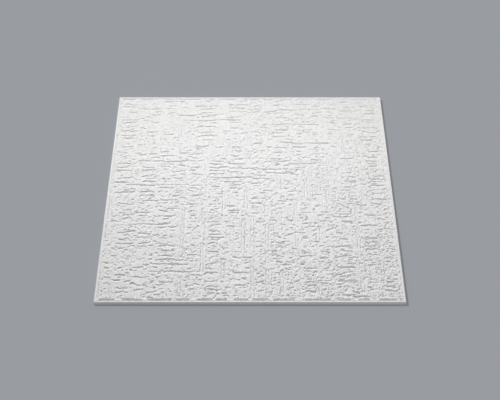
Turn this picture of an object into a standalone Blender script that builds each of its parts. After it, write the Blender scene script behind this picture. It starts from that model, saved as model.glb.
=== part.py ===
"""Ceiling tile: one square plate of moulded foam with a flush rim and a rough, creased face.

The tile lies with its flat back on z = 0 and its face up. The origin is the middle of the back.
The face is a field of V-shaped creases: level rungs between upright bars, long ones that cross them, and
short nicks in the room that is left. A constrained triangulation joins their edges, so the mesh spends its
faces on the creases and leaves the plain foam between them in large facets.
"""

import math
import random

import bpy
from mathutils import Vector, noise
from mathutils.geometry import delaunay_2d_cdt

# Plate
TILE_SIDE = 0.500
TILE_THICKNESS = 0.006
EDGE_RADIUS = 0.0006
EDGE_STEPS = 2

# Rim and the fine line that runs round inside it
RIM_WIDTH = 0.0030
LINE_WIDTH = 0.0010
LINE_DEPTH = 0.0005

# Level creases: their section, and how they wander, kink and hook down on their way. The deepest line lies
# this share of half a width off the middle, so the left wall is steep and the right one a gentle ramp.
CREASE_WIDTH = 0.0031
CREASE_DEPTH = 0.0023
CREASE_STEP = 0.0155
CREASE_WANDER = 0.0012
SPINE_SHIFT = 0.55
KINK_RUN = 0.0028
KINK_RISE = 0.0022
KINK_SHARE = 0.28
HOOK_RUN = 0.0045
HOOK_DROP = 0.0050
HOOK_SHARE = 0.18
END_TAPER = 0.0022
LARGEST_TAPER = 0.33
SHORTEST = 0.0055

# Long creases that cross several patches
LONG_COUNT = 14
LONG_LENGTH = 0.095

# Patches of the field: each holds rungs, one behind the other, in runs of about one length
PATCH_WIDTH = 0.042
PATCH_HEIGHT = 0.080
RUNG_PITCH = 0.0104
RUNG_OVERLAP = 0.0050
RUNG_INDENT = 0.36
RUNG_RAGGED = 0.0060
RUN_OF_RUNGS = (2, 6)
RUNG_COVER = 0.86

# Bars: smooth upright strips between the patches, each between two shallow straight creases
BAR_PIECE = 0.050
BAR_PAUSE = 0.010
BAR_COVER = 0.55
BAR_GAP = 0.0048
BAR_WIDTH = 0.0020
BAR_DEPTH = 0.0015
BAR_STEP = 0.0400

# Broken rows of creases just inside the front and back rim
BORDER_DASH = 0.028
BORDER_PAUSE = 0.008
BORDER_INSET = 0.0009
BORDER_WIDTH = 0.0030

# Loose level creases and short upright or askew nicks, in the room that is left
LOOSE_COUNT = 74
LOOSE_LENGTH = 0.0100
LOOSE_CLEARANCE = 0.0020
NICK_COUNT = 42
NICK_LENGTH = 0.0055
NICK_WIDTH = 0.0026
NICK_DEPTH = 0.0014

# Plain foam between the creases
SWELL_DEPTH = 0.0006
SWELL_LENGTH = 0.024
LEAN = 0.0003

FOAM_COLOR = (0.78, 0.78, 0.775, 1.0)
FOAM_ROUGHNESS = 0.75

# Layout of the creases: seed, room between two of them, tries to find a place, and uneven shares
SEED = 12
CLEARANCE = 0.0006
MOST_TRIES = 60
UNEVEN = (0.6, 1.2)
LONGER_OR_SHORTER = (0.5, 1.6)
NEAR_MIDDLE = (0.36, 0.64)
STRAY_ANGLE = 0.25
WELD = 1e-5

FIELD_HALF = TILE_SIDE / 2 - RIM_WIDTH - LINE_WIDTH


class Crease:
    """A V-shaped furrow along a path, uneven in width and depth. Its tips run out on the face."""

    def __init__(self, rng, path, width, depth):
        self.path = path
        self.widths = [width * rng.uniform(*UNEVEN) for _ in path]
        self.depths = [depth * rng.uniform(*UNEVEN) for _ in path]
        self.lean = rng.uniform(-LEAN, LEAN)

    def normal(self, index):
        before = self.path[index] - self.path[index - 1]
        after = self.path[index + 1] - self.path[index]
        along = (before.normalized() + after.normalized()).normalized()
        return Vector((-along.y, along.x))

    def samples(self):
        """Points along the path with the width there, close enough together to find what it would hit."""
        for index in range(len(self.path) - 1):
            start, end = self.path[index:index + 2]
            count = max(1, math.ceil((end - start).length / CLEARANCE))
            for step in range(count + 1):
                share = step / count
                width = self.widths[index] * (1 - share) + self.widths[index + 1] * share
                yield start.lerp(end, share), width


class Field:
    """The rough part of the face: the creases laid so far, and a raster of the foam that they use."""

    def __init__(self, half):
        self.half = half
        self.creases = []
        self.used = set()

    def squares(self, crease, margin):
        for point, width in crease.samples():
            reach = math.ceil((width / 2 + margin) / CLEARANCE)
            column = round(point.x / CLEARANCE)
            row = round(point.y / CLEARANCE)
            for i in range(-reach, reach + 1):
                for j in range(-reach, reach + 1):
                    if i * i + j * j <= reach * reach:
                        yield column + i, row + j

    def inside(self, crease):
        limit = self.half - max(crease.widths) / 2 - CLEARANCE
        return all(max(abs(p.x), abs(p.y)) < limit for p in crease.path)

    def add(self, crease, clearance=CLEARANCE):
        """Keeps the crease if it lies inside the field and clear of the others."""
        if not self.inside(crease):
            return False
        if not self.used.isdisjoint(self.squares(crease, clearance)):
            return False
        self.used.update(self.squares(crease, 0))
        self.creases.append(crease)
        return True

    def somewhere(self, rng):
        return Vector((rng.uniform(-self.half, self.half), rng.uniform(-self.half, self.half)))


def straight_path(start, along, length):
    """Points along a straight line: the tips, and between them the stretch of full width."""
    taper = min(END_TAPER, length * LARGEST_TAPER)
    pieces = max(1, round((length - 2 * taper) / BAR_STEP))
    inner = [taper + (length - 2 * taper) * i / pieces for i in range(pieces + 1)]
    return [start + along * distance for distance in (0, *inner, length)]


def level_path(rng, start, length):
    """A path to the right that wanders a little, kinks to a new level and may hook down at its tips."""
    taper = min(END_TAPER, length * LARGEST_TAPER)
    path = [start]
    x = start.x + taper
    y = start.y
    while x < start.x + length - taper:
        path.append(Vector((x, y + rng.uniform(-CREASE_WANDER, CREASE_WANDER))))
        if rng.random() < KINK_SHARE:
            x += KINK_RUN
            y += rng.choice((-1, 1)) * KINK_RISE * rng.uniform(*UNEVEN)
        else:
            x += CREASE_STEP * rng.uniform(*UNEVEN)
    end = max(start.x + length, path[-1].x + taper)
    path.append(Vector((end, y)))
    if length > 2 * HOOK_RUN and rng.random() < HOOK_SHARE:
        path.append(path[-1] + Vector((HOOK_RUN, -HOOK_DROP)) * rng.uniform(*UNEVEN))
    if length > 2 * HOOK_RUN and rng.random() < HOOK_SHARE:
        path.insert(0, path[0] - Vector((HOOK_RUN, HOOK_DROP)) * rng.uniform(*UNEVEN))
    return path


def lay_level(rng, field, start, length, clearance=CLEARANCE):
    return field.add(Crease(rng, level_path(rng, start, length), CREASE_WIDTH, CREASE_DEPTH), clearance)


def border_dashes(rng, field):
    """The broken row of level creases just inside the rim, in front and at the back."""
    reach = field.half - BORDER_INSET - BORDER_WIDTH / 2
    for y in (-reach, reach):
        x = -reach
        while x < reach - SHORTEST:
            length = min(BORDER_DASH * rng.uniform(*LONGER_OR_SHORTER), reach - x)
            path = straight_path(Vector((x, y)), Vector((1, 0)), length)
            field.add(Crease(rng, path, BORDER_WIDTH, CREASE_DEPTH))
            x += length + BORDER_PAUSE * rng.uniform(*LONGER_OR_SHORTER)


def patches(rng, low, high):
    """Splits the rectangle between two corners into patches of uneven size."""
    across = (high.x - low.x) / PATCH_WIDTH
    up = (high.y - low.y) / PATCH_HEIGHT
    if max(across, up) < 1 + rng.uniform(*NEAR_MIDDLE):
        return [(low, high)]
    share = rng.uniform(*NEAR_MIDDLE)
    if rng.random() * (across + up) < across:
        cut = low.x + (high.x - low.x) * share
        return patches(rng, low, Vector((cut, high.y))) + patches(rng, Vector((cut, low.y)), high)
    cut = low.y + (high.y - low.y) * share
    return patches(rng, low, Vector((high.x, cut))) + patches(rng, Vector((low.x, cut)), high)


def bar(rng, field, x, low, high):
    """Pairs of shallow upright creases, one above the other, with a smooth bar between each two."""
    y = low + BAR_PAUSE * rng.uniform(*LONGER_OR_SHORTER)
    while y < high - SHORTEST:
        length = min(BAR_PIECE * rng.uniform(*LONGER_OR_SHORTER), high - y)
        if rng.random() < BAR_COVER:
            for side in (-1, 1):
                path = straight_path(Vector((x + side * BAR_GAP / 2, y)), Vector((0, 1)), length)
                field.add(Crease(rng, path, BAR_WIDTH, BAR_DEPTH))
        y += length + BAR_PAUSE * rng.uniform(*LONGER_OR_SHORTER)


def rungs(rng, field, low, high):
    """Level creases one behind the other in a patch, in runs that begin and end at about one place.

    A rung passes the patch's borders where the foam is free there, and stops short of them elsewhere.
    """
    inset = BAR_GAP / 2 + BAR_WIDTH
    room = high.x - low.x - 2 * inset
    y = low.y + RUNG_PITCH * rng.uniform(*NEAR_MIDDLE)
    while y < high.y:
        start = low.x + inset + room * rng.uniform(0, RUNG_INDENT)
        end = high.x - inset - room * rng.uniform(0, RUNG_INDENT)
        pitch = RUNG_PITCH * rng.uniform(*UNEVEN)
        for _ in range(rng.randint(*RUN_OF_RUNGS)):
            left = start + RUNG_RAGGED * rng.uniform(-1, 1)
            length = end + RUNG_RAGGED * rng.uniform(-1, 1) - left
            over = RUNG_OVERLAP * rng.uniform(*LONGER_OR_SHORTER)
            if y < high.y and length > SHORTEST and rng.random() < RUNG_COVER:
                lay_level(rng, field, Vector((left - over, y)), length + 2 * over) or lay_level(
                    rng, field, Vector((left, y)), length
                )
            y += pitch * rng.uniform(*UNEVEN)
        y += pitch * rng.uniform(*NEAR_MIDDLE)


def long_creases(rng, field):
    for _ in range(LONG_COUNT):
        for _ in range(MOST_TRIES):
            length = LONG_LENGTH * rng.uniform(*LONGER_OR_SHORTER)
            if lay_level(rng, field, field.somewhere(rng), length, RUNG_PITCH / 2):
                break


def loose_creases(rng, field):
    """Short level creases where there is room."""
    for _ in range(LOOSE_COUNT):
        length = LOOSE_LENGTH * rng.uniform(*LONGER_OR_SHORTER)
        for _ in range(MOST_TRIES):
            if lay_level(rng, field, field.somewhere(rng), length, LOOSE_CLEARANCE):
                break


def nicks(rng, field):
    """Short cuts between the creases. They stand up or lie askew, because the creases are level."""
    for _ in range(NICK_COUNT):
        for _ in range(MOST_TRIES):
            heading = rng.choice((math.pi / 2, math.pi / 4, -math.pi / 4)) + rng.gauss(0, STRAY_ANGLE)
            along = Vector((math.cos(heading), math.sin(heading)))
            along *= NICK_LENGTH * rng.uniform(*LONGER_OR_SHORTER)
            start = field.somewhere(rng)
            path = [start, start + along * rng.uniform(*NEAR_MIDDLE), start + along]
            if field.add(Crease(rng, path, NICK_WIDTH, NICK_DEPTH)):
                break


def lay_out():
    rng = random.Random(SEED)
    field = Field(FIELD_HALF)
    corner = Vector((field.half, field.half))
    border_dashes(rng, field)
    long_creases(rng, field)
    mosaic = patches(rng, -corner, corner)
    for low, high in mosaic:
        bar(rng, field, low.x, low.y, high.y)
    for low, high in mosaic:
        rungs(rng, field, low, high)
    loose_creases(rng, field)
    nicks(rng, field)
    return field


def swell(point):
    """How far the plain foam lies below the rim here."""
    wave = noise.noise(Vector((point.x / SWELL_LENGTH, point.y / SWELL_LENGTH, SEED)))
    return SWELL_DEPTH * (1 - wave) / 2


def face_points(field):
    """Plan points, how far each lies below the rim, and the edges that the triangulation keeps."""
    half = field.half
    points = [Vector(corner) for corner in ((-half, -half), (half, -half), (half, half), (-half, half))]
    drops = [0, 0, 0, 0]
    edges = [(0, 1), (1, 2), (2, 3), (3, 0)]

    def place(point, depth):
        points.append(point)
        drops.append(max(0, swell(point) + depth))
        return len(points) - 1

    for crease in field.creases:
        path = crease.path
        inner = range(1, len(path) - 1)
        across = {i: crease.normal(i) * crease.widths[i] / 2 for i in inner}
        first = place(path[0], 0)
        left = [place(path[i] + across[i], crease.lean) for i in inner]
        spine = [place(path[i] + across[i] * SPINE_SHIFT, crease.depths[i]) for i in inner]
        right = [place(path[i] - across[i], -crease.lean) for i in inner]
        last = place(path[-1], 0)
        for row in (left, spine, right):
            line = [first, *row, last]
            edges += zip(line, line[1:])
    return points, drops, edges


def rim_section():
    """(inset, height) from the back's edge up over the rim and down into the line inside it."""
    section = [(0, 0)]
    for step in range(EDGE_STEPS + 1):
        angle = math.pi / 2 * step / EDGE_STEPS
        inset = EDGE_RADIUS * (1 - math.cos(angle))
        section.append((inset, TILE_THICKNESS - EDGE_RADIUS * (1 - math.sin(angle))))
    section.append((RIM_WIDTH, TILE_THICKNESS))
    section.append((RIM_WIDTH + LINE_WIDTH / 2, TILE_THICKNESS - LINE_DEPTH))
    return section


def tile_mesh():
    """The creased field, the rim's section carried round its four sides, and the flat back."""
    points, drops, edges = face_points(lay_out())
    found, _, faces, sources, _, _ = delaunay_2d_cdt(points, edges, [], 0, WELD)
    vertices = []
    for place, ids in zip(found, sources):
        drop = max(drops[i] for i in ids) if ids else swell(place)
        vertices.append((place.x, place.y, TILE_THICKNESS - drop))
    field_corners = [next(i for i, ids in enumerate(sources) if corner in ids) for corner in range(4)]

    rings = []
    for inset, height in rim_section():
        half = TILE_SIDE / 2 - inset
        rings.append(range(len(vertices), len(vertices) + 4))
        vertices += [(x, y, height) for x, y in ((-half, -half), (half, -half), (half, half), (-half, half))]
    rings.append(field_corners)
    for lower, upper in zip(rings, rings[1:]):
        for side in range(4):
            after = (side + 1) % 4
            faces.append((lower[side], lower[after], upper[after], upper[side]))
    faces.append(tuple(reversed(rings[0])))

    mesh = bpy.data.meshes.new("tile")
    mesh.from_pydata(vertices, [], faces)
    mesh.validate()
    return mesh


def foam_material():
    material = bpy.data.materials.new("white_foam")
    material.use_nodes = True
    shader = material.node_tree.nodes["Principled BSDF"]
    shader.inputs["Base Color"].default_value = FOAM_COLOR
    shader.inputs["Roughness"].default_value = FOAM_ROUGHNESS
    shader.inputs["Metallic"].default_value = 0.0
    return material


def main():
    for old in list(bpy.data.objects):
        bpy.data.objects.remove(old)
    tile = bpy.data.objects.new("tile", tile_mesh())
    tile.data.materials.append(foam_material())
    bpy.context.scene.collection.objects.link(tile)


if __name__ == "__main__":
    main()
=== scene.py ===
# %% [markdown]
# # A moulded foam ceiling tile
# This tile is one thin square plate of white polystyrene foam. Its back is flat and gets glued to the
# ceiling. Its face is pressed in a mould into a rough pattern of level creases between upright bars, with
# a smooth rim all round. The CAD model holds the plate and its main creases, and this lesson dresses it:
# it takes the creases over from the CAD, presses the finer strokes between them, and gives the foam its
# grain.

# %% Load the CAD frame
import math

import bpy
import numpy as np
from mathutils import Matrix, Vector


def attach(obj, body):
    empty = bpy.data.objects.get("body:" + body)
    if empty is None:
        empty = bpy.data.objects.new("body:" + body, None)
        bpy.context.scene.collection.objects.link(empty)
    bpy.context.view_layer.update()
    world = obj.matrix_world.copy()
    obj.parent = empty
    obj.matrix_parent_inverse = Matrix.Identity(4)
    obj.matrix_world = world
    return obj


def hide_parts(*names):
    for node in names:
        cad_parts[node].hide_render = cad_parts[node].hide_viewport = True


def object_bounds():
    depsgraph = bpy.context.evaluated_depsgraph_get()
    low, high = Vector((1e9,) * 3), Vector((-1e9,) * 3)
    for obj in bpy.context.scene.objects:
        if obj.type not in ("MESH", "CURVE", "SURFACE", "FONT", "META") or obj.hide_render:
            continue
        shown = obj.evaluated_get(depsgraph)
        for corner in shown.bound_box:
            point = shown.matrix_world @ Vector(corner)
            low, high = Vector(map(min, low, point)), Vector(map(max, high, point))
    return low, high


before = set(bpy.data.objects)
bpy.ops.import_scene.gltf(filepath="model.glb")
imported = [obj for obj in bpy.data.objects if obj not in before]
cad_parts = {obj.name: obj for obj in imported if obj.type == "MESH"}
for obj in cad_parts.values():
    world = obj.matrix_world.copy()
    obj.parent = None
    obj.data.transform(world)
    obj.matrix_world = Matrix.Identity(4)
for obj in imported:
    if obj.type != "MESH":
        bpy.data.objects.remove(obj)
cad_box = [list(corner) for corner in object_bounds()]
bpy.ops.object.select_all(action="DESELECT")
cad_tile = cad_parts["tile"]
print("CAD box", cad_box)

# %% [markdown]
# The camera comes first, because every later choice is judged through it. It looks down on the tile from
# the front at about 46 degrees, through a long lens, so that the far edge is only a little shorter than
# the near one. Its numbers were fitted to the four corners of the tile's top.

# %% Place the camera
camera_elevation = math.radians(46.14)
camera_distance = 1.8574
camera_aim = Vector((0.0002, -0.0237, 0.006))
away = Vector((0, -math.cos(camera_elevation), math.sin(camera_elevation)))
bpy.ops.object.camera_add(location=camera_aim + away * camera_distance)
camera = bpy.context.object
camera.name = "camera"
camera.rotation_euler = (-away).to_track_quat("-Z", "Y").to_euler()
camera.data.lens = 76.69
bpy.context.scene.camera = camera
print("camera stands at", camera.location)

# %% [markdown]
# The rough part of the face is a field inside the rim and the fine line that runs round it. It starts as
# a grid of small squares a little above the tile: small enough that a stroke two millimetres wide is
# several squares across.

# %% Lay a sheet over the field
thickness = cad_box[1][2]
half_side = cad_box[1][0]
rim_width = 0.0030
line_width = 0.0010
field_half = half_side - rim_width - line_width
squares = 720
sheet_lift = 0.001
bpy.ops.mesh.primitive_grid_add(
    x_subdivisions=squares, y_subdivisions=squares, size=2 * field_half,
    location=(0, 0, thickness + sheet_lift),
)
face = bpy.context.object
face.name = "foam_tile"
face.data.name = "foam_tile"
bpy.ops.object.transform_apply(location=True, rotation=True, scale=True)
print("sheet has", len(face.data.vertices), "points")

# %% [markdown]
# A Shrinkwrap modifier drops the sheet straight down onto the CAD tile, as a damp cloth would settle. The
# main creases and bars now have exactly the place that the CAD gives them.


# %% Drop the sheet onto the CAD tile
def finish_with(kind, **settings):
    """Adds one modifier to the face, sets it and applies it."""
    modifier = face.modifiers.new(kind.lower(), kind)
    for name, value in settings.items():
        setattr(modifier, name, value)
    bpy.ops.object.modifier_apply(modifier=modifier.name)


finish_with(
    "SHRINKWRAP", target=cad_tile, wrap_method="PROJECT", use_project_z=True,
    use_negative_direction=True, use_positive_direction=False,
)
print("sheet lies on the tile with", len(face.data.vertices), "points")

# %% [markdown]
# The photograph shows many finer strokes between the main creases: level dashes, thin upright ones and
# short specks that lie askew. There are thousands, so code presses them into the sheet instead of a hand
# in edit mode. The sheet's heights are read as a table, rows by columns, and a stroke lowers the points
# near its path.


# %% Read the sheet as a table of heights
def read_points():
    """The face's points as rows of x, y, z."""
    points = np.empty(len(face.data.vertices) * 3)
    face.data.vertices.foreach_get("co", points)
    return points.reshape(-1, 3)


def write_points(points):
    """Moves the face's points to these rows of x, y, z."""
    face.data.vertices.foreach_set("co", points.ravel())
    face.data.update()


points = read_points()
missed = points[:, 2] > thickness + 1e-6
points[missed, 2] = thickness
order = np.lexsort((points[:, 0].round(6), points[:, 1].round(6)))
columns = squares + 1
axis = points[order[:columns], 0]
pitch = axis[1] - axis[0]
height = points[order, 2].reshape(columns, columns)
print("points that missed the tile:", int(missed.sum()))
print("heights from", height.min(), "to", height.max())

# %% [markdown]
# A stroke is pressed as a groove. Its far wall is steep, as in the CAD's creases, and its near wall is a
# gentle ramp. The depth is uneven along the path, and both width and depth run out at the tips. Where two
# strokes meet, the deeper one wins, so nothing is cut twice.

# %% Press one stroke
dice = np.random.default_rng(5)
pressed = np.zeros_like(height)
tip_run = 0.0020
tip_share = 0.35
steep_share = 0.3
roundness = 1.6
uneven_depth = (0.5, 1.35)


def press(path, width, depth):
    """Presses a groove of this width and depth along the path."""
    path = np.array(path)
    low = np.searchsorted(axis, path.min(0) - width)
    high = np.searchsorted(axis, path.max(0) + width)
    window = (slice(low[1], high[1]), slice(low[0], high[0]))
    x, y = np.meshgrid(axis[window[1]], axis[window[0]])
    steps = np.hypot(*np.diff(path, axis=0).T)
    total = steps.sum()
    depths = depth * dice.uniform(*uneven_depth, len(path))
    gone = 0
    for number, step in enumerate(steps):
        (x0, y0), (x1, y1) = path[number:number + 2]
        share = np.clip(((x - x0) * (x1 - x0) + (y - y0) * (y1 - y0)) / step**2, 0, 1)
        off = np.hypot(x - x0 - share * (x1 - x0), y - y0 - share * (y1 - y0))
        on_far_side = (x1 - x0) * (y - y0) > (y1 - y0) * (x - x0)
        wall = np.where(on_far_side, steep_share, 1 - steep_share) * width
        to_tip = np.minimum(gone + share * step, total - gone - share * step)
        run_out = np.clip(tip_share + to_tip / tip_run, 0, 1)
        floor_depth = depths[number] * (1 - share) + depths[number + 1] * share
        groove = floor_depth * run_out * np.clip(1 - (off / (wall * run_out))**roundness, 0, 1)
        pressed[window] = np.maximum(pressed[window], groove)
        gone += step


joint_run = 0.0030


def wandering(x, y, heading, length, stray):
    """A path of short steps that strays a little to both sides."""
    count = max(2, round(length / joint_run))
    along = np.linspace(0, length, count + 1)
    aside = dice.normal(0, stray, count + 1)
    return np.stack([
        x + along * math.cos(heading) - aside * math.sin(heading),
        y + along * math.sin(heading) + aside * math.cos(heading),
    ], 1)


print("a groove's far wall takes", steep_share, "of its width")

# %% [markdown]
# Along the front edge, just inside the rim, the CAD has a broken row of creases. In the photograph it is
# one of the darkest lines of the tile, so each of its creases is found in the table and pressed deeper.

# %% Deepen the front row
row_inset = 0.0024
row_width = 0.0029
row_depth = 0.0034
row_stray = 0.0003
row_level = thickness - 0.0008
shortest_in_row = 0.003
row = np.searchsorted(axis, row_inset - field_half)
creased = np.concatenate([[False], height[row] < row_level, [False]])
row_ends = np.flatnonzero(creased[1:] != creased[:-1]).reshape(-1, 2)
deepened = 0
for first, last in row_ends:
    length = axis[last - 1] - axis[first]
    if length > shortest_in_row:
        press(wandering(axis[first], axis[row], 0, length, row_stray), row_width, row_depth)
        deepened += 1
print("creases deepened in the front row:", deepened)

# %% [markdown]
# The strokes keep a distance from each other, about 5 mm up and down the face. A second table marks the
# foam that is taken, first by the CAD's creases, and then by each stroke that finds room.

# %% Mark the foam that is taken
taken = height < thickness - 0.0011


def widen(mask, reach_x, reach_y):
    """The mask grown by these distances."""
    for axis_number, reach in ((1, reach_x), (0, reach_y)):
        grown = mask.copy()
        for shift in range(1, round(reach / pitch) + 1):
            grown |= np.roll(mask, shift, axis_number) | np.roll(mask, -shift, axis_number)
        mask = grown
    return mask


taken = widen(taken, 0.0008, 0.0016)
print("share of the field taken by the CAD's creases:", taken.mean().round(3))

# %% [markdown]
# A stroke's foam is taken together with a margin round it. A stroke is only laid where little of its path
# is taken yet, and clear of the field's edges, more so in front and at the back, where the rows of
# creases run.

# %% Find room for a stroke
off_sides = 0.0012
off_ends = 0.0036


def spots(path):
    """The rows and columns of the table that a path runs over."""
    fine = np.concatenate([np.linspace(a, b, 8) for a, b in zip(path[:-1], path[1:])])
    return np.searchsorted(axis, fine[:, 1]), np.searchsorted(axis, fine[:, 0])


def find_room(path, margin_x, margin_y, most):
    """Says whether a path has room, and if it has, marks its foam as taken."""
    reach_x, reach_y = np.abs(path).max(0)
    if reach_x > field_half - off_sides or reach_y > field_half - off_ends:
        return False
    rows, cols = spots(path)
    if taken[rows, cols].mean() > most:
        return False
    wide = round(margin_x / pitch)
    high = round(margin_y / pitch)
    for row, col in zip(rows, cols):
        taken[max(0, row - high):row + high + 1, max(0, col - wide):col + wide + 1] = True
    return True


def anywhere():
    """A place in the field, as x and y."""
    return dice.uniform(-field_half, field_half, 2)


def stroke(x, y, heading, length, stray, room, widths, depths):
    """Presses a stroke if there is room for it, and says how many it pressed."""
    path = wandering(x, y, heading, length, stray)
    if not find_room(path, *room):
        return 0
    press(path, dice.uniform(*widths), dice.uniform(*depths))
    return 1


print("strokes keep", off_sides, "m off the sides and", off_ends, "m off the ends")

# %% [markdown]
# Pairs of thin upright creases with a smooth bar between them cross the face from front to back. The CAD
# has the main ones, and these few fainter ones are laid where they fall, over whatever is there.

# %% Press the faint bars
bar_count = 14
bar_gap = 0.0048
bar_width = 0.0019
bar_depth = 0.0010
for _ in range(bar_count):
    x, y = anywhere()
    length = dice.uniform(0.03, 0.15)
    for side in (-1, 1):
        path = wandering(x + side * bar_gap / 2, y, math.pi / 2, length, 0.0001)
        path = path[np.abs(path).max(1) < field_half - off_ends]
        if len(path) > 3:
            find_room(path, bar_gap / 2, 0, 1)
            press(path, bar_width, bar_depth)
print("laid", bar_count, "faint bars")

# %% [markdown]
# Level dashes are the commonest strokes. They are laid the long ones first, so that the short ones fill
# what is left.

# %% Press the level dashes
dash_tries = 2400
dash_length = 0.0065
dash_lengths = np.sort(dash_length * np.exp(dice.normal(0, 0.5, dash_tries)))[::-1]
dash_room = (0.0012, 0.0024, 0.12)
dashes = 0
for length in dash_lengths:
    x, y = anywhere()
    heading = dice.normal(0, 0.16)
    dashes += stroke(x, y, heading, length, 0.0006, dash_room, (0.0022, 0.0035), (0.0012, 0.0025))
print("pressed", dashes, "dashes")

# %% [markdown]
# Between the dashes stand single upright strokes, thinner and shallower. Under light from behind they
# show only as faint lines.

# %% Press the upright strokes
upright_tries = 180
upright_length = 0.012
upright_room = (0.0012, 0.0012, 0.3)
uprights = 0
for _ in range(upright_tries):
    x, y = anywhere()
    length = upright_length * math.exp(dice.normal(0, 0.7))
    heading = math.pi / 2 + dice.normal(0, 0.05)
    uprights += stroke(x, y, heading, length, 0.0002, upright_room, (0.0014, 0.0020), (0.0004, 0.0008))
print("pressed", uprights, "upright strokes")

# %% [markdown]
# The specks crowd together in some patches and leave others smooth. A table of soft clouds says where:
# random heights on a coarse lattice, with eased steps between them.


# %% Lay out where the specks crowd
def cells(size):
    """The lattice cell of each place on the axis, and how far into the cell it lies, eased."""
    place = (axis - axis[0]) / size
    cell = np.floor(place).astype(int)
    into = place - cell
    return cell, into * into * (3 - 2 * into)


def cloudy(size_x, size_y=None):
    """Soft clouds about this large over the whole table."""
    column, right = cells(size_x)
    row, up = cells(size_y or size_x)
    lattice = dice.standard_normal((row.max() + 2, column.max() + 2))
    rows = lattice[row] * (1 - up)[:, None] + lattice[row + 1] * up[:, None]
    return rows[:, column] * (1 - right) + rows[:, column + 1] * right


crowding = cloudy(0.045)
print("crowding from", crowding.min().round(2), "to", crowding.max().round(2))

# %% [markdown]
# A speck is two or three millimetres long and lies askew. It is left out by chance, more often where the
# clouds are low.

# %% Press the specks
speck_tries = 9000
speck_length = 0.0027
speck_room = (0.0008, 0.0010, 0.35)
crowd_share = 0.7
specks = 0
for _ in range(speck_tries):
    x, y = anywhere()
    row, col = np.searchsorted(axis, (y, x))
    if crowd_share * crowding[row, col] < dice.normal(0.0, 0.7):
        continue
    length = speck_length * math.exp(dice.normal(0, 0.4))
    heading = dice.normal(0, 0.55)
    specks += stroke(x, y, heading, length, 0.0004, speck_room, (0.0016, 0.0026), (0.0005, 0.0015))
print("pressed", specks, "specks")

# %% [markdown]
# Between all these the foam is torn open in ragged pits of one to three millimetres. They are what fine
# clouds leave where they are cut off at a level: the crowding sets the level, so pits come in swarms.

# %% Tear the small pits
pit_level = 0.65 - 0.25 * np.clip(crowding, -1.5, 1.5)
pit_depth = 0.0013
pit_steepness = 1.6
ragged = cloudy(0.0024, 0.0018) + 0.5 * cloudy(0.0014, 0.0012)
pits = pit_depth * np.clip((ragged - pit_level) * pit_steepness, 0, 1)
pits[taken] = 0
pressed = np.maximum(pressed, pits)
print("share of the field in pits:", (pits > 0).mean().round(3))

# %% [markdown]
# The CAD's creases run as even furrows. Clouds of a few millimetres make them deeper and shallower in
# turn, so that they look torn and beaded like the real ones. In the photograph the relief is strongest in
# front and on the right, so the whole table is made deeper there and shallower at the back and on the
# left.

# %% Bead the main creases
bead_size = 0.0030
beaded = 1.06 + 0.34 * np.clip(cloudy(bead_size), -1.5, 1.5)
deepest = 0.0040
relief = (0.96 - 0.16 * axis / field_half)[:, None] * (1 + 0.2 * axis / field_half)
drop = np.minimum(np.maximum((thickness - height) * beaded, pressed) * relief, deepest)
lip_share = 0.6
drop = np.maximum(drop, lip_share * np.roll(drop, -1, 0))
print("creases are up to", drop.max().round(4), "m deep")

# %% [markdown]
# The foam rises a little behind each stroke and sinks towards it in front, as if a trowel had dragged it
# towards the front edge. These soft slopes face the light, so each dark stroke has a bright band beside
# it.

# %% Slope the foam beside the strokes, and write the heights back
slope_reach = 0.0045
slope_share = 0.46
slope = np.zeros_like(drop)
slope_steps = round(slope_reach / pitch)
for step in range(1, slope_steps + 1):
    weight = slope_share * 2 * (slope_steps + 1 - step) / (slope_steps * (slope_steps + 1))
    slope += weight * (np.roll(drop, -step, 0) - np.roll(drop, step, 0))
points[order, 2] = (thickness - np.clip(drop + slope, 0, deepest)).ravel()
write_points(points)
print("slopes move the foam by", slope.std().round(5), "on average")

# %% [markdown]
# No stroke in the foam is straight. Displace modifiers with cloud textures push the points a little to
# the side, so that creases waver, and a weaker one moves them up and down for the soft unevenness of the
# foam. A vertex group keeps the sheet's border where it is.

# %% Hold the border
hold = face.vertex_groups.new(name="inside")
to_border = np.round((field_half - np.abs(points[:, :2]).max(1)) / pitch).astype(int)
fade_squares = 6
for ring in range(1, fade_squares):
    hold.add(np.flatnonzero(to_border == ring).tolist(), ring / fade_squares, "REPLACE")
hold.add(np.flatnonzero(to_border >= fade_squares).tolist(), 1.0, "REPLACE")
print("points on the border:", int((to_border == 0).sum()))


# %% Let the creases waver
def waver(name, basis, size, direction, strength, mid_level=0.5):
    """Pushes the points along one axis by soft clouds of this size."""
    texture = bpy.data.textures.new(name, "CLOUDS")
    texture.noise_scale = size
    texture.noise_depth = 1
    texture.noise_basis = basis
    finish_with("DISPLACE", texture=texture, direction=direction, strength=strength,
                vertex_group="inside", texture_coords="LOCAL", mid_level=mid_level)


waver("waver_across", "ORIGINAL_PERLIN", 0.007, "Y", 0.0036)
waver("waver_along", "BLENDER_ORIGINAL", 0.008, "X", 0.0030)
waver("unevenness", "IMPROVED_PERLIN", 0.0035, "Z", 0.0008, mid_level=0.65)
print("sheet now reaches up to", read_points()[:, 2].max().round(5))

# %% [markdown]
# The sheet now has over a million triangles, most of them on plain foam. A Decimate modifier spends fewer
# there and keeps them where the creases are. Nothing may stand higher than the rim, so what does is
# lowered.

# %% Thin the sheet
most_triangles = 185000
finish_with("DECIMATE", ratio=most_triangles / (2 * squares**2))
points = read_points()
points[:, 2] = np.minimum(points[:, 2], thickness)
write_points(points)
print("sheet now has", len(face.data.polygons), "faces")

# %% [markdown]
# The border of the sheet is pulled out into the fine line, the smooth rim, the rounded edge and the side,
# and then the back is closed with one face. Each step is an extrusion of the border, scaled to its new
# place. The thinning moved a few border points a little, so they are first set straight.

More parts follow.
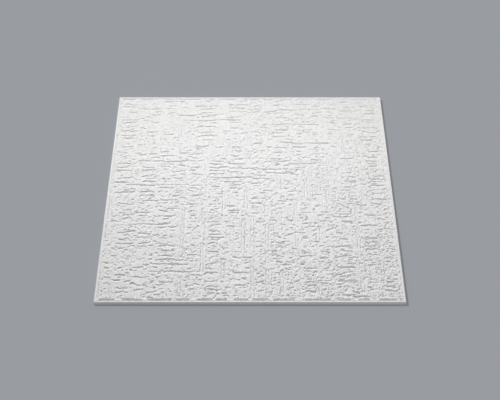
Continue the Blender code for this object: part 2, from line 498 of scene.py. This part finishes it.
# %% Straighten the border
moved_at_most = 0.0004
bpy.ops.object.mode_set(mode="EDIT")
bpy.ops.mesh.select_mode(type="EDGE")
bpy.ops.mesh.select_all(action="SELECT")
bpy.ops.mesh.region_to_loop()
bpy.ops.object.mode_set(mode="OBJECT")
border = [vertex for vertex in face.data.vertices if vertex.select]
for vertex in border:
    for number in (0, 1):
        if abs(abs(vertex.co[number]) - field_half) < moved_at_most:
            vertex.co[number] = math.copysign(field_half, vertex.co[number])
    vertex.co.z = thickness
print("border has", len(border), "points")

# %% [markdown]
# The border has about a thousand points, but from the fine line outwards all is straight and needs only
# four corners. So once the border has been pulled to the rim, its other points are dissolved, which joins
# the narrow faces behind them into one face a side.


# %% Pull out the line, the rim and the side
def keep_corners(half):
    """Dissolves all points of the open border but its four corners, and selects the border again."""
    bpy.ops.mesh.select_mode(type="VERT")
    bpy.ops.object.mode_set(mode="OBJECT")
    straight = [
        vertex.index for vertex in face.data.vertices
        if vertex.select and min(abs(vertex.co.x), abs(vertex.co.y)) < half - 1e-5
    ]
    bpy.ops.object.mode_set(mode="EDIT")
    bpy.ops.mesh.select_all(action="DESELECT")
    bpy.ops.object.mode_set(mode="OBJECT")
    for index in straight:
        face.data.vertices[index].select = True
    bpy.ops.object.mode_set(mode="EDIT")
    bpy.ops.mesh.dissolve_verts()
    bpy.ops.mesh.select_all(action="DESELECT")
    bpy.ops.mesh.select_non_manifold()


line_depth = 0.0005
edge_radius = 0.0006
edge_steps = 4
rim_step = 1
section = [(field_half + line_width / 2, thickness - line_depth), (half_side - rim_width, thickness)]
for step in range(edge_steps + 1):
    turn = math.pi / 2 * step / edge_steps
    section.append((
        half_side - edge_radius * (1 - math.sin(turn)),
        thickness - edge_radius * (1 - math.cos(turn)),
    ))
section.append((half_side, 0))

bpy.ops.object.mode_set(mode="EDIT")
half, level = field_half, thickness
for number, (next_half, next_level) in enumerate(section):
    bpy.ops.mesh.extrude_region_move(TRANSFORM_OT_translate={"value": (0, 0, next_level - level)})
    grow = next_half / half
    bpy.ops.transform.resize(value=(grow, grow, 1), center_override=(0, 0, 0))
    half, level = next_half, next_level
    if number == rim_step:
        keep_corners(half)
bpy.ops.mesh.edge_face_add()
bpy.ops.object.mode_set(mode="OBJECT")
print("section of the edge:", [(round(a, 5), round(b, 5)) for a, b in section])

# %% [markdown]
# The normals are made to point outwards, and the mesh is searched for open or doubled points.

# %% Check that the mesh is closed
bpy.ops.object.mode_set(mode="EDIT")
bpy.ops.mesh.select_all(action="SELECT")
bpy.ops.mesh.normals_make_consistent(inside=False)
bpy.ops.mesh.select_all(action="DESELECT")
bpy.ops.mesh.select_mode(type="VERT")
bpy.ops.mesh.select_non_manifold()
bpy.ops.object.mode_set(mode="OBJECT")
print("open or doubled points:", sum(vertex.select for vertex in face.data.vertices))

# %% [markdown]
# Smooth shading rounds the soft foam, while edges sharper than the smoothing angle stay crisp.

# %% Smooth the shading
bpy.ops.object.shade_smooth_by_angle(angle=math.radians(50))
face.data.calc_loop_triangles()
print("tile has", len(face.data.loop_triangles), "triangles")

# %% [markdown]
# The foam is nearly white and matt. It is made of beads a few millimetres wide, pressed together, which
# leaves a faint net of seams, small tears and a fine grain that no mesh of this size can hold. All three
# are bumps in the material, laid over each other and read from the object's own coordinates.

# %% Start the foam material
foam = bpy.data.materials.new("white_foam")
foam.use_nodes = True
nodes = foam.node_tree.nodes
links = foam.node_tree.links
shader = nodes["Principled BSDF"]
shader.inputs["Roughness"].default_value = 0.8
shader.inputs["Specular IOR Level"].default_value = 0.3
place = nodes.new("ShaderNodeTexCoord").outputs["Object"]


def texture(kind, coordinates, **values):
    """A texture node that reads these coordinates."""
    node = nodes.new(kind)
    links.new(coordinates, node.inputs["Vector"])
    for name, value in values.items():
        node.inputs[name].default_value = value
    return node


def bump(height, strength, distance, below=None):
    """A bump from this height, laid over the bump below it."""
    node = nodes.new("ShaderNodeBump")
    node.inputs["Strength"].default_value = strength
    node.inputs["Distance"].default_value = distance
    links.new(height, node.inputs["Height"])
    if below is not None:
        links.new(below.outputs["Normal"], node.inputs["Normal"])
    return node


print("foam has roughness", shader.inputs["Roughness"].default_value)

# %% [markdown]
# The tears are about three millimetres long and a little longer level than upright, so their noise is
# stretched by a Mapping node. The seams lie where the distance from a bead's middle is greatest, and that
# bump is inverted, because they are sunk. The grain is the finest noise.

# %% Roughen the foam
level_wise = nodes.new("ShaderNodeMapping")
level_wise.inputs["Scale"].default_value = (0.7, 1, 1)
links.new(place, level_wise.inputs["Vector"])
tears = texture("ShaderNodeTexNoise", level_wise.outputs["Vector"], Scale=330, Detail=3, Roughness=0.6)
tear_bump = bump(tears.outputs["Fac"], 1.0, 0.0008)

beads = texture("ShaderNodeTexVoronoi", place, Scale=420)
beads.feature = "SMOOTH_F1"
beads.inputs["Smoothness"].default_value = 0.5
bead_bump = bump(beads.outputs["Distance"], 0.5, 0.0004, tear_bump)
bead_bump.invert = True

grain = texture("ShaderNodeTexNoise", place, Scale=900, Detail=3)
grain_bump = bump(grain.outputs["Fac"], 0.5, 0.0005, bead_bump)
links.new(grain_bump.outputs["Normal"], shader.inputs["Normal"])
print("three bumps lead to", shader.inputs["Normal"].name)

# %% [markdown]
# Foam takes up a little dust and lets a little light through, so its white is not quite even. A soft
# noise runs between two near whites.

# %% Mottle the white
mottle = texture("ShaderNodeTexNoise", place, Scale=160, Detail=4)
tint = nodes.new("ShaderNodeValToRGB")
for element, position, white in zip(tint.color_ramp.elements, (0.35, 0.65), (0.74, 0.80)):
    element.position = position
    element.color = (white, white, white, 1)
links.new(mottle.outputs["Fac"], tint.inputs["Fac"])
links.new(tint.outputs["Color"], shader.inputs["Base Color"])
face.data.materials.clear()
face.data.materials.append(foam)
print("foam material has", len(nodes), "nodes")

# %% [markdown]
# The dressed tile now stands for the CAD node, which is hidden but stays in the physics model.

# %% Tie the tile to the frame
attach(face, "root")
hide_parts("tile")
print("tied", face.name)

# %% [markdown]
# The tile lies on a plain grey ground, a large plane that is staged and so isn't part of the object.

# %% Lay the floor
bpy.ops.mesh.primitive_plane_add(size=8, location=(0, 0, 0))
floor = bpy.context.object
floor.name = "floor"
ground = bpy.data.materials.new("grey_ground")
ground.use_nodes = True
ground_shader = ground.node_tree.nodes["Principled BSDF"]
ground_shader.inputs["Base Color"].default_value = (0.487, 0.520, 0.569, 1)
ground_shader.inputs["Roughness"].default_value = 0.9
ground_shader.inputs["Specular IOR Level"].default_value = 0.1
floor.data.materials.append(ground)
print("floor is", tuple(floor.dimensions), "m")

# %% [markdown]
# Each light reaches either the ground or the tile, by light linking. The sun comes from behind and from
# the left and only gives the tile its narrow shadow on the ground.


# %% Light the ground
def light(kind, name, place, target, power, colour, reached):
    """Adds a lamp that points at the target and lights one object only."""
    bpy.ops.object.light_add(type=kind, location=place)
    lamp = bpy.context.object
    lamp.name = name
    lamp.rotation_euler = (Vector(target) - Vector(place)).to_track_quat("-Z", "Y").to_euler()
    lamp.data.energy = power
    lamp.data.color = colour
    reach = bpy.data.collections.new(name + "_reaches")
    reach.objects.link(reached)
    lamp.light_linking.receiver_collection = reach
    return lamp.data


sun = light("SUN", "sun", (-0.56, 0.42, 0.72), (0, 0, 0), 0.98, (1, 1, 1), floor)
sun.angle = math.radians(8)
print("sun is", round(math.degrees(sun.angle), 1), "degrees wide")

# %% [markdown]
# Low light from behind is what shows the relief: each crease turns its far wall to the camera, and that
# wall lies in shade. The low spot is aimed at the front edge and fades towards the back. A long lamp
# above the back edge and a soft spot from the camera's side make the back brighter and flatten its relief
# a little.

# %% Light the tile
cool = (0.920, 0.943, 1.0)
for name, place, target, power, size in (
    ("low_spot", (-1.3, 2.95, 1.8), (0.05, -0.42, 0), 480, 20),
    ("fill_spot", (0, -1.6, 1.9), (0.24, 0.35, 0), 62, 24),
):
    spot = light("SPOT", name, place, target, power, cool, face)
    spot.spot_size = math.radians(size)
    spot.spot_blend = 1.0
    spot.shadow_soft_size = 0.3

back_lamp = light("AREA", "back_lamp", (0, 0.27, 0.4), (0, 0, 0), 1.18, (1, 1, 0.955), face)
back_lamp.shape = "RECTANGLE"
back_lamp.size = 1.2
back_lamp.size_y = 0.1

# %% [markdown]
# The world fills the shade with even, slightly warm light. The Standard view shows colours as they are
# written.

# %% Fill the shade
world = bpy.context.scene.world
if world is None:
    world = bpy.data.worlds.new("sky")
    bpy.context.scene.world = world
world.use_nodes = True
background = world.node_tree.nodes["Background"]
background.inputs["Color"].default_value = (0.430, 0.415, 0.402, 1)
background.inputs["Strength"].default_value = 1.0
bpy.context.scene.view_settings.view_transform = "Standard"
print("world colour", tuple(round(part, 3) for part in background.inputs["Color"].default_value[:3]))
